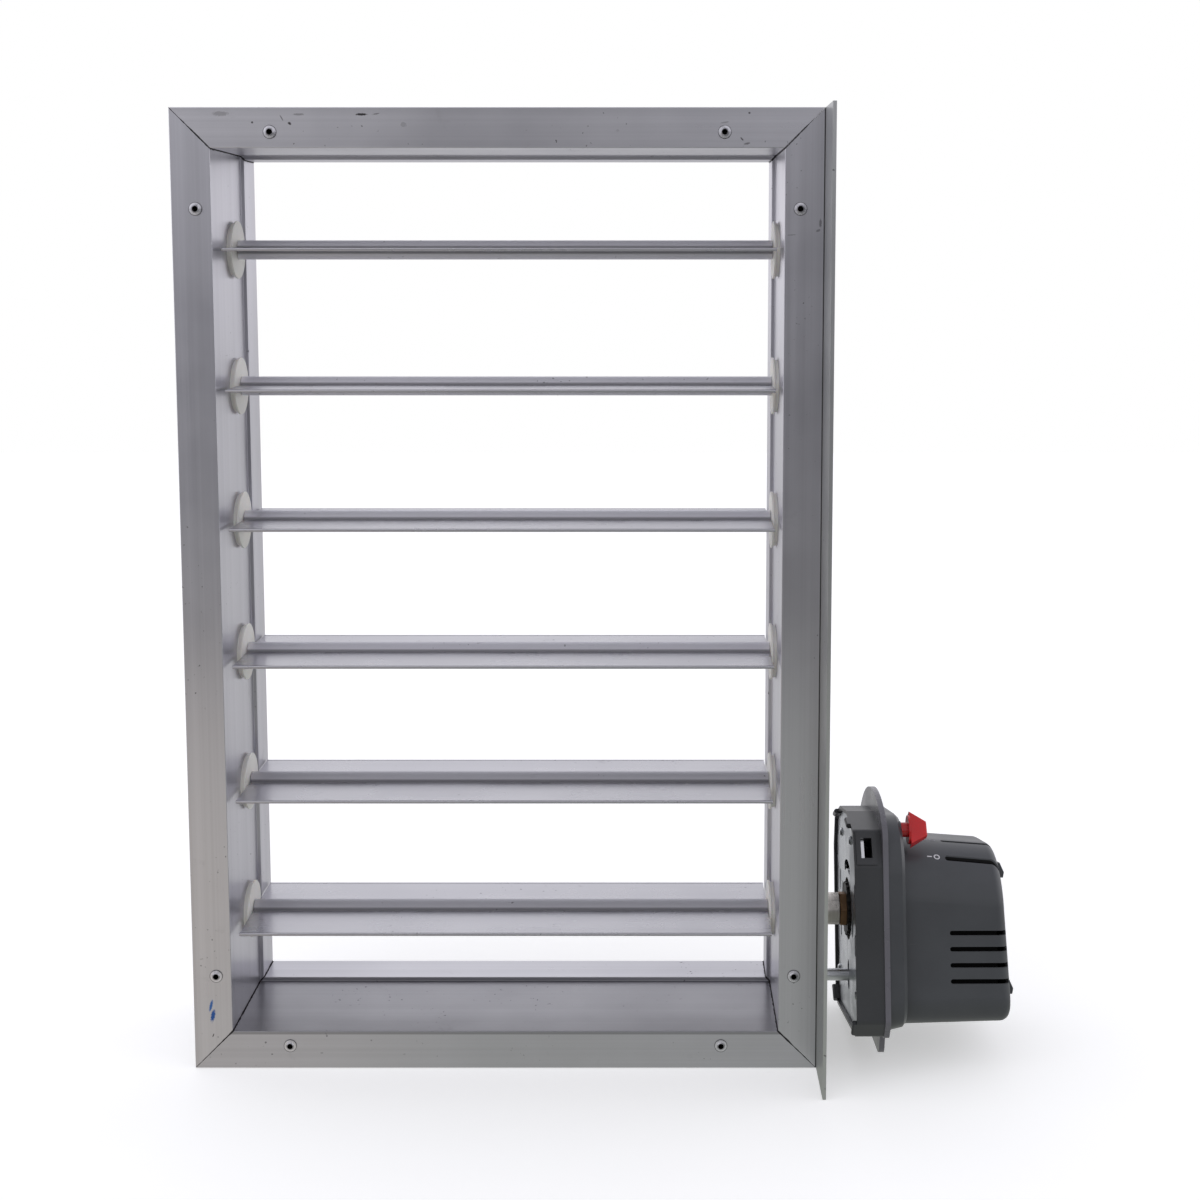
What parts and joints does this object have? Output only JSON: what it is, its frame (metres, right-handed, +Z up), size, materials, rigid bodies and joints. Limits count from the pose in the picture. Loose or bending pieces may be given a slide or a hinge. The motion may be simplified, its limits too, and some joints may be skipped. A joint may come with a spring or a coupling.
{
  "type": "volume control damper",
  "caption": "Rectangular air damper: extruded frame with parallel blades on a linked crank drive, turned by a direct-coupled motor actuator with a release knob.",
  "frame": {"origin": "centre of the air opening, in the plane of the blade shafts", "axes": "+X along the blades towards the actuator, +Y with the air towards the back flange, +Z up"},
  "size_m": [0.6015, 0.1911, 0.696],
  "materials": {
    "frame_aluminium": "mill finish extrusion with fine drawing lines",
    "blade_aluminium": "mill finish extrusion",
    "bracket_steel": "zinc plated",
    "rivet_aluminium": "satin",
    "side_plate_aluminium": "mill finish sheet",
    "nylon": "ivory nylon, satin",
    "shaft_steel": "turned steel",
    "sleeve_steel": "turned nickel-plated steel",
    "bronze": "dark bronze",
    "black_hub": "black, matt",
    "zinc_plate": "bright zinc plated sheet",
    "screw_zinc": "bright zinc plated",
    "housing_plastic": "dark slate grey moulded plastic, fine texture",
    "flange_plastic": "slate grey moulded plastic",
    "knob_red": "red moulded plastic, semi-gloss",
    "gear_plastic": "natural acetal",
    "motor_steel": "plated can",
    "board_green": "circuit board",
    "terminal_plastic": "green moulded plastic"
  },
  "bodies": {
    "frame": {"frame_top_rail": "frame_aluminium", "frame_bottom_rail": "frame_aluminium", "frame_left_stile": "frame_aluminium", "frame_right_stile": "frame_aluminium", "front_corner_brackets": "bracket_steel", "back_corner_brackets": "bracket_steel", "front_corner_rivets": "rivet_aluminium", "back_corner_rivets": "rivet_aluminium", "side_plate": "side_plate_aluminium", "side_plate_screws": "screw_zinc", "left_bushes": "nylon", "right_bushes": "nylon", "torque_stud": "screw_zinc", "stud_nuts": "screw_zinc", "actuator_tray": "housing_plastic", "actuator_base_plate": "zinc_plate", "actuator_base_screws": "screw_zinc", "actuator_ear_flange": "flange_plastic", "actuator_cover": "housing_plastic", "actuator_cover_screws": "screw_zinc", "cover_latches": "housing_plastic", "motor": "motor_steel", "circuit_board": "board_green", "terminal_block": "terminal_plastic"},
    "blade_1": {"blade_1": "blade_aluminium", "spindles_1": "shaft_steel", "crank_arm_1": "bracket_steel", "crank_pin_1": "shaft_steel"},
    "blade_2": {"blade_2": "blade_aluminium", "spindles_2": "shaft_steel", "crank_arm_2": "bracket_steel", "crank_pin_2": "shaft_steel"},
    "blade_3": {"blade_3": "blade_aluminium", "spindles_3": "shaft_steel", "crank_arm_3": "bracket_steel", "crank_pin_3": "shaft_steel"},
    "blade_4": {"blade_4": "blade_aluminium", "spindles_4": "shaft_steel", "crank_arm_4": "bracket_steel", "crank_pin_4": "shaft_steel"},
    "blade_5": {"blade_5": "blade_aluminium", "spindles_5": "shaft_steel", "crank_arm_5": "bracket_steel", "crank_pin_5": "shaft_steel"},
    "blade_6": {"blade_6": "blade_aluminium", "spindles_6": "shaft_steel", "crank_arm_6": "bracket_steel", "crank_pin_6": "shaft_steel", "drive_sleeve": "sleeve_steel", "clamp_nut": "bronze", "drive_hub": "black_hub", "drive_gear": "gear_plastic"},
    "tie_bar": {"tie_bar": "bracket_steel", "tie_bar_bushes": "nylon"},
    "motor_pinion": {"motor_pinion": "gear_plastic"},
    "release_knob": {"release_knob": "knob_red"}
  },
  "joints": [
    {"name": "blade_1_turn", "type": "hinge", "parent": "frame", "child": "blade_1", "pos_m": [0, 0, 0.25], "axis": [1, 0, 0], "range_deg": [0, 88]},
    {"name": "blade_2_turn", "type": "hinge", "parent": "frame", "child": "blade_2", "pos_m": [0, 0, 0.15], "axis": [1, 0, 0], "range_deg": [0, 88]},
    {"name": "blade_3_turn", "type": "hinge", "parent": "frame", "child": "blade_3", "pos_m": [0, 0, 0.05], "axis": [1, 0, 0], "range_deg": [0, 88]},
    {"name": "blade_4_turn", "type": "hinge", "parent": "frame", "child": "blade_4", "pos_m": [0, 0, -0.05], "axis": [1, 0, 0], "range_deg": [0, 88]},
    {"name": "blade_5_turn", "type": "hinge", "parent": "frame", "child": "blade_5", "pos_m": [0, 0, -0.15], "axis": [1, 0, 0], "range_deg": [0, 88]},
    {"name": "blade_6_turn", "type": "hinge", "parent": "frame", "child": "blade_6", "pos_m": [0, 0, -0.25], "axis": [1, 0, 0], "range_deg": [0, 88]},
    {"name": "tie_bar_pivot", "type": "hinge", "parent": "blade_6", "child": "tie_bar", "pos_m": [0.2185, 0.02158, -0.27084], "axis": [1, 0, 0], "range_deg": [-88, 0]},
    {"name": "pinion_turn", "type": "hinge", "parent": "frame", "child": "motor_pinion", "pos_m": [0.265, 0.01316, -0.29303], "axis": [1, 0, 0], "range_deg": [-352, 0]},
    {"name": "release_knob_turn", "type": "hinge", "parent": "frame", "child": "release_knob", "pos_m": [0.3, -0.03102, -0.17767], "axis": [1, 0, 0], "range_deg": [-90, 0]}
  ],
  "couplings": [
    {"joint": "blade_1_turn", "follows": "blade_6_turn", "ratio": 1},
    {"joint": "blade_2_turn", "follows": "blade_6_turn", "ratio": 1},
    {"joint": "blade_3_turn", "follows": "blade_6_turn", "ratio": 1},
    {"joint": "blade_4_turn", "follows": "blade_6_turn", "ratio": 1},
    {"joint": "blade_5_turn", "follows": "blade_6_turn", "ratio": 1},
    {"joint": "tie_bar_pivot", "follows": "blade_6_turn", "ratio": -1},
    {"joint": "pinion_turn", "follows": "blade_6_turn", "ratio": -4}
  ]
}
